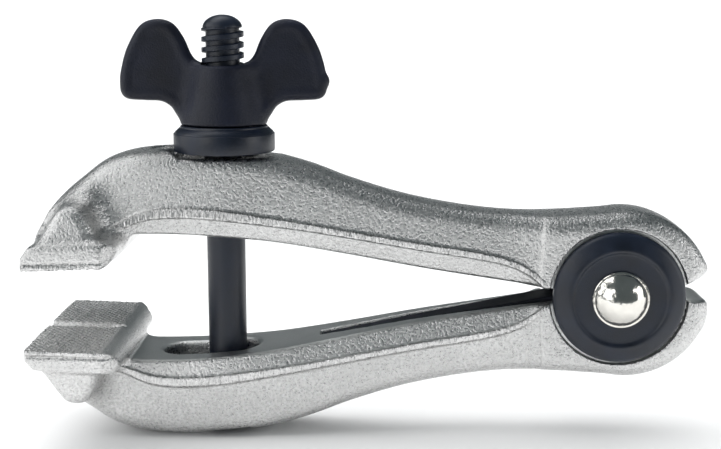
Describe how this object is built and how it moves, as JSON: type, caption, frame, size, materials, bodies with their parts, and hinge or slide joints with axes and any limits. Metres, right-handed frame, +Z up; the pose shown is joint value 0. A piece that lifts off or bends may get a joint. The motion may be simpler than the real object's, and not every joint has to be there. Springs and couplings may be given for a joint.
{
  "type": "hand vice",
  "caption": "Forged hand vice: two hinged arms with flared grooved jaws, a hairpin leaf spring and a swinging screw with seat ring and wing nut.",
  "frame": {"origin": "centre of the footprint of the overall box, at the lowest point of the lower arm's back", "axes": "+Z up along the screw, towards the wing nut; +X from the jaws to the hinge; +Y along the hinge axis, away from the side that the near cap is on"},
  "size_m": [0.1281, 0.04, 0.0805],
  "materials": {
    "nickel_plate": "bright nickel plate over a fine blasted forging",
    "spring_steel": "blued spring steel",
    "polished_steel": "mirror polished",
    "black_oxide": "satin black oxide",
    "black_casting": "fine grained black casting"
  },
  "bodies": {
    "lower_arm": {"lower_arm": "nickel_plate", "leaf_spring": "spring_steel", "pivot_rivet": "polished_steel", "near_cap": "black_oxide", "far_cap": "black_oxide"},
    "upper_arm": {"upper_arm": "nickel_plate"},
    "screw": {"clamp_screw": "black_oxide"},
    "ring": {"seat_ring": "black_oxide"},
    "nut": {"wing_nut": "black_casting"}
  },
  "joints": [
    {"name": "jaw_open", "type": "hinge", "parent": "lower_arm", "child": "upper_arm", "pos_m": [0.04599, 0, 0.0279], "axis": [0, 1, 0], "range_deg": [-7.25, 6.5], "deforming": ["leaf_spring"]},
    {"name": "screw_swing", "type": "hinge", "parent": "lower_arm", "child": "screw", "pos_m": [-0.02901, 0, 0.0067], "axis": [0, 1, 0], "range_deg": [-3.73, 3.35]},
    {"name": "ring_slide", "type": "slide", "parent": "screw", "child": "ring", "axis": [0, 0, 1], "range_m": [-0.00958, 0.0086]},
    {"name": "nut_turn", "type": "hinge", "parent": "ring", "child": "nut", "pos_m": [-0.02901, 0, 0.05974], "axis": [0, 0, 1], "range_deg": [-1711, 1534.5]}
  ],
  "couplings": [
    {"joint": "screw_swing", "follows": "jaw_open", "ratio": 0.5},
    {"joint": "ring_slide", "follows": "jaw_open", "m_per_rad": 0.0749},
    {"joint": "nut_turn", "follows": "jaw_open", "ratio": 235.31}
  ]
}
